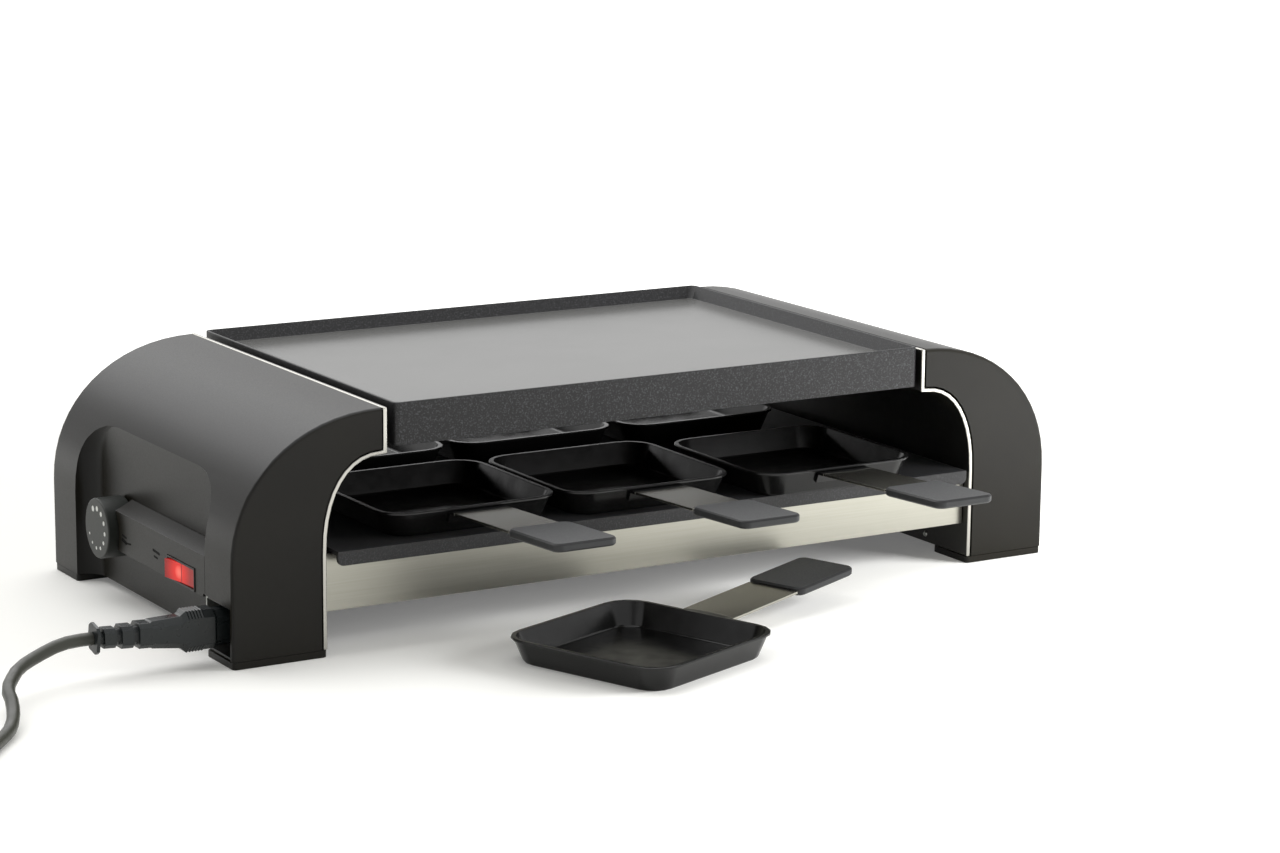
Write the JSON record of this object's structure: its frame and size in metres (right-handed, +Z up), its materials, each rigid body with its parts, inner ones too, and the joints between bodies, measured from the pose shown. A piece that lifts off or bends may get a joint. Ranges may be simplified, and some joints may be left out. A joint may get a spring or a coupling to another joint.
{
  "type": "raclette-style pizza grill",
  "caption": "Countertop pizza grill: arched side housings carry a cast plate over a heating element, with square pans on the shelf below.",
  "frame": {"origin": "centre of the grill's own box on the table plane, without the free cord", "axes": "+X from the control side to the other housing, +Y to the rear row of pans, +Z up"},
  "size_m": [0.9368, 0.6006, 0.155],
  "materials": {
    "charcoal_moulding": "fine matte moulded texture, warm charcoal",
    "black_sheet": "satin heat-proof enamel",
    "steel_trim": "polished edge",
    "steel_panel": "fine horizontal brushing",
    "foot_rubber": "matte black rubber",
    "coated_shelf": "speckled dark non-stick coating over the whole sheet",
    "coated_plate": "cast, with a speckled dark non-stick coating over the whole plate",
    "element_sheath": "heat-darkened tube",
    "thermostat_case": "plated can",
    "black_moulding": "matte black",
    "grey_moulding": "light grey moulding",
    "red_lens": "lit translucent red",
    "cord_rubber": "dark grey sheath, low gloss",
    "pan_enamel": "glossy black enamel",
    "handle_steel": "satin steel strip",
    "grip_plastic": "matte dark grey"
  },
  "bodies": {
    "grill": {"left_cover": "charcoal_moulding", "left_liner": "black_sheet", "left_bottom_plate": "black_sheet", "left_plate_rail": "black_sheet", "left_top_trim": "steel_trim", "left_front_trim": "steel_trim", "left_front_foot": "foot_rubber", "left_rear_trim": "steel_trim", "left_rear_foot": "foot_rubber", "right_cover": "charcoal_moulding", "right_liner": "black_sheet", "right_bottom_plate": "black_sheet", "right_plate_rail": "black_sheet", "right_top_trim": "steel_trim", "right_front_trim": "steel_trim", "right_front_foot": "foot_rubber", "right_rear_trim": "steel_trim", "right_rear_foot": "foot_rubber", "front_panel": "steel_panel", "rear_panel": "steel_panel", "base_pan": "black_sheet", "shelf_plate": "coated_shelf", "front_element_bracket": "black_sheet", "rear_element_bracket": "black_sheet", "heating_element": "element_sheath", "control_bar": "charcoal_moulding", "thermostat": "thermostat_case", "switch_housing": "black_moulding", "inlet_socket": "grey_moulding"},
    "plate": {"grill_plate": "coated_plate"},
    "knob": {"thermostat_knob": "charcoal_moulding"},
    "rocker": {"rocker_switch": "red_lens"},
    "mains_lead": {"connector": "cord_rubber", "cord_lead": "cord_rubber", "cord_coil": "cord_rubber", "coil_tie": "black_moulding", "mains_plug": "cord_rubber"},
    "front_left_pan": {"front_left_pan_tray": "pan_enamel", "front_left_pan_handle_strip": "handle_steel", "front_left_pan_grip": "grip_plastic"},
    "front_middle_pan": {"front_middle_pan_tray": "pan_enamel", "front_middle_pan_handle_strip": "handle_steel", "front_middle_pan_grip": "grip_plastic"},
    "front_right_pan": {"front_right_pan_tray": "pan_enamel", "front_right_pan_handle_strip": "handle_steel", "front_right_pan_grip": "grip_plastic"},
    "rear_left_pan": {"rear_left_pan_tray": "pan_enamel", "rear_left_pan_handle_strip": "handle_steel", "rear_left_pan_grip": "grip_plastic"},
    "rear_middle_pan": {"rear_middle_pan_tray": "pan_enamel", "rear_middle_pan_handle_strip": "handle_steel", "rear_middle_pan_grip": "grip_plastic"},
    "rear_right_pan": {"rear_right_pan_tray": "pan_enamel", "rear_right_pan_handle_strip": "handle_steel", "rear_right_pan_grip": "grip_plastic"},
    "table_pan": {"table_pan_tray": "pan_enamel", "table_pan_handle_strip": "handle_steel", "table_pan_grip": "grip_plastic"}
  },
  "joints": [
    {"name": "plate_lift", "type": "slide", "parent": "grill", "child": "plate", "axis": [0, 0, 1], "range_m": [0, 0.12]},
    {"name": "knob_turn", "type": "hinge", "parent": "grill", "child": "knob", "pos_m": [-0.28925, 0.06872, 0.0483], "axis": [-1, 0, 0], "range_deg": [-120, 150]},
    {"name": "rocker_tip", "type": "hinge", "parent": "grill", "child": "rocker", "pos_m": [-0.29925, -0.05228, 0.0445], "axis": [0, 0, 1], "range_deg": [-12, 0]},
    {"name": "connector_pull", "type": "slide", "parent": "grill", "child": "mains_lead", "axis": [-1, 0, 0], "range_m": [0, 0.03]},
    {"name": "front_left_pan_slide", "type": "slide", "parent": "grill", "child": "front_left_pan", "axis": [0, -1, 0], "range_m": [0, 0.18]},
    {"name": "front_middle_pan_slide", "type": "slide", "parent": "grill", "child": "front_middle_pan", "axis": [0, -1, 0], "range_m": [0, 0.18]},
    {"name": "front_right_pan_slide", "type": "slide", "parent": "grill", "child": "front_right_pan", "axis": [0, -1, 0], "range_m": [0, 0.18]},
    {"name": "rear_left_pan_slide", "type": "slide", "parent": "grill", "child": "rear_left_pan", "axis": [0, 1, 0], "range_m": [0, 0.18]},
    {"name": "rear_middle_pan_slide", "type": "slide", "parent": "grill", "child": "rear_middle_pan", "axis": [0, 1, 0], "range_m": [0, 0.18]},
    {"name": "rear_right_pan_slide", "type": "slide", "parent": "grill", "child": "rear_right_pan", "axis": [0, 1, 0], "range_m": [0, 0.18]},
    {"name": "table_pan_lift", "type": "slide", "parent": "grill", "child": "table_pan", "axis": [0, 0, 1], "range_m": [0, 0.04]}
  ]
}
